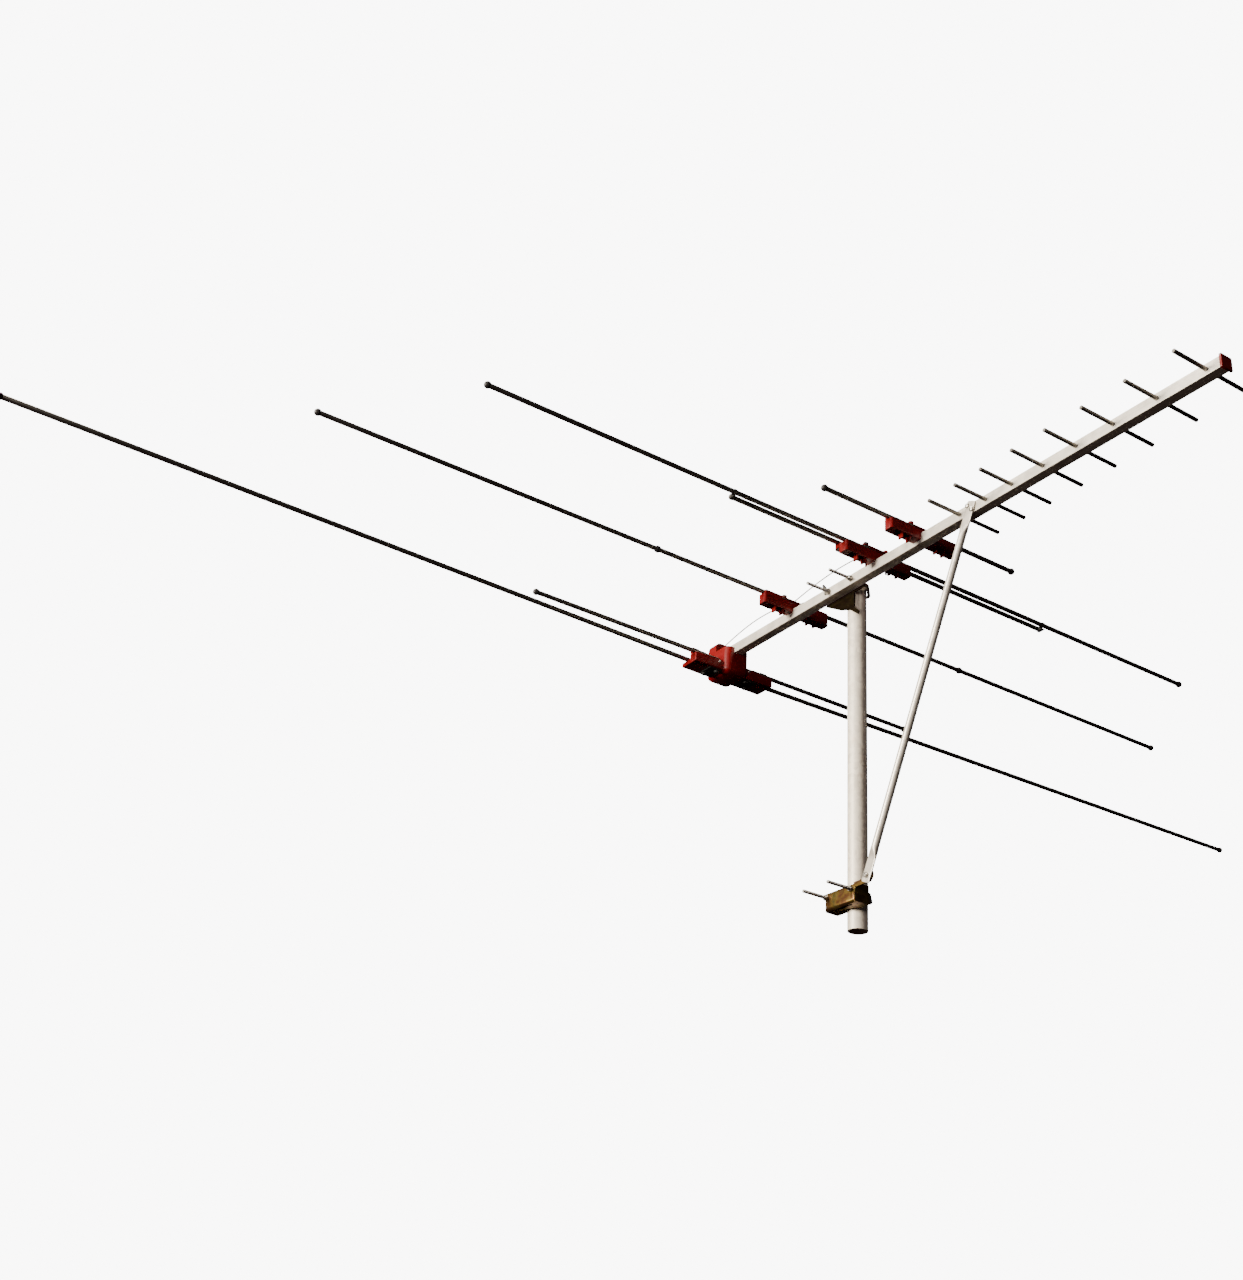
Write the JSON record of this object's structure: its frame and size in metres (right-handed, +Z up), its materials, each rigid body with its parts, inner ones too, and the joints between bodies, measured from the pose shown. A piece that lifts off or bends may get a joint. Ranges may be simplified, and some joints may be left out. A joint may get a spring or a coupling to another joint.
{
  "type": "folding combination yagi antenna",
  "caption": "Folding television yagi on a mast stub: rods that fold about plastic insulators on a square boom, short directors in front and a tubular brace below.",
  "frame": {"origin": "centre of the mast's foot, in the plane of its lower end", "axes": "+Z up along the mast; the boom lies along Y with the directors at -Y; the rods lie along X"},
  "size_m": [2.912, 1.2513, 0.7002],
  "materials": {
    "aluminium": "drawn, bare",
    "galvanised_tube": "galvanised",
    "bright_zinc": "zinc plated",
    "yellow_zinc": "yellow chromate on zinc",
    "red_plastic": "moulded, satin",
    "black_plastic": "moulded, matt"
  },
  "bodies": {
    "mast": {"mast": "galvanised_tube"},
    "antenna": {"boom": "aluminium", "boom_front_cap": "red_plastic", "mast_bracket": "yellow_zinc", "upper_v_bolt": "bright_zinc", "lower_v_bolt": "bright_zinc", "wing_nut_front": "bright_zinc", "wing_nut_rear": "bright_zinc", "clamp_nut_front": "bright_zinc", "clamp_nut_rear": "bright_zinc", "lower_saddle": "yellow_zinc", "brace": "aluminium", "brace_screw_upper": "bright_zinc", "brace_screw_lower": "bright_zinc", "brace_foot_bolt": "bright_zinc", "insulator_rear": "red_plastic", "insulator_c": "red_plastic", "insulator_d": "red_plastic", "insulator_e": "red_plastic", "pivot_strap_c": "red_plastic", "pivot_strap_d": "red_plastic", "pivot_strap_e": "red_plastic", "rear_pivot_left": "black_plastic", "rear_pivot_right": "black_plastic", "feeder_rear": "bright_zinc", "feeder_front": "bright_zinc", "director_1": "aluminium", "director_2": "aluminium", "director_3": "aluminium", "director_4": "aluminium", "director_5": "aluminium", "director_6": "aluminium", "director_7": "aluminium", "director_8": "aluminium"},
    "half_a_left": {"rod_a_left": "aluminium", "tip_cap_a_left": "black_plastic"},
    "half_a_right": {"rod_a_right": "aluminium", "tip_cap_a_right": "black_plastic"},
    "half_b_left": {"rod_b_left": "aluminium", "tip_cap_b_left": "black_plastic"},
    "half_b_right": {"rod_b_right": "aluminium", "tip_cap_b_right": "black_plastic"},
    "half_c_left": {"rod_c_left": "aluminium", "tip_cap_c_left": "black_plastic", "collar_c_left": "black_plastic"},
    "half_c_right": {"rod_c_right": "aluminium", "tip_cap_c_right": "black_plastic", "collar_c_right": "black_plastic"},
    "half_d_left": {"rod_d_left": "aluminium", "tip_cap_d_left": "black_plastic", "companion_d_left": "aluminium", "clip_d_left": "black_plastic"},
    "half_d_right": {"rod_d_right": "aluminium", "tip_cap_d_right": "black_plastic", "companion_d_right": "aluminium", "clip_d_right": "black_plastic"},
    "half_e_left": {"rod_e_left": "aluminium", "tip_cap_e_left": "black_plastic"},
    "half_e_right": {"rod_e_right": "aluminium", "tip_cap_e_right": "black_plastic"}
  },
  "joints": [
    {"name": "aim", "type": "hinge", "parent": "mast", "child": "antenna", "pos_m": [0, 0, 0], "axis": [0, 0, 1], "continuous": true},
    {"name": "fold_a_left", "type": "hinge", "parent": "antenna", "child": "half_a_left", "pos_m": [-0.0805, 0.367, 0.6155], "axis": [0, 0, -1], "range_deg": [0, 80]},
    {"name": "fold_a_right", "type": "hinge", "parent": "antenna", "child": "half_a_right", "pos_m": [0.0195, 0.367, 0.6155], "axis": [0, 0, 1], "range_deg": [0, 80]},
    {"name": "fold_b_left", "type": "hinge", "parent": "antenna", "child": "half_b_left", "pos_m": [-0.0665, 0.344, 0.626], "axis": [0, 0, 1], "range_deg": [0, 80]},
    {"name": "fold_b_right", "type": "hinge", "parent": "antenna", "child": "half_b_right", "pos_m": [0.0055, 0.344, 0.626], "axis": [0, 0, -1], "range_deg": [0, 80]},
    {"name": "fold_c_left", "type": "hinge", "parent": "antenna", "child": "half_c_left", "pos_m": [-0.054, 0.148, 0.68], "axis": [0, 0, -1], "range_deg": [0, 80]},
    {"name": "fold_c_right", "type": "hinge", "parent": "antenna", "child": "half_c_right", "pos_m": [-0.007, 0.148, 0.68], "axis": [0, 0, 1], "range_deg": [0, 80]},
    {"name": "fold_d_left", "type": "hinge", "parent": "antenna", "child": "half_d_left", "pos_m": [-0.054, -0.0875, 0.6845], "axis": [0, 0, 1], "range_deg": [0, 80]},
    {"name": "fold_d_right", "type": "hinge", "parent": "antenna", "child": "half_d_right", "pos_m": [-0.007, -0.0875, 0.6845], "axis": [0, 0, -1], "range_deg": [0, 80]},
    {"name": "fold_e_left", "type": "hinge", "parent": "antenna", "child": "half_e_left", "pos_m": [-0.054, -0.2066, 0.674], "axis": [0, 0, 1], "range_deg": [0, 80]},
    {"name": "fold_e_right", "type": "hinge", "parent": "antenna", "child": "half_e_right", "pos_m": [-0.007, -0.2066, 0.674], "axis": [0, 0, -1], "range_deg": [0, 80]}
  ]
}
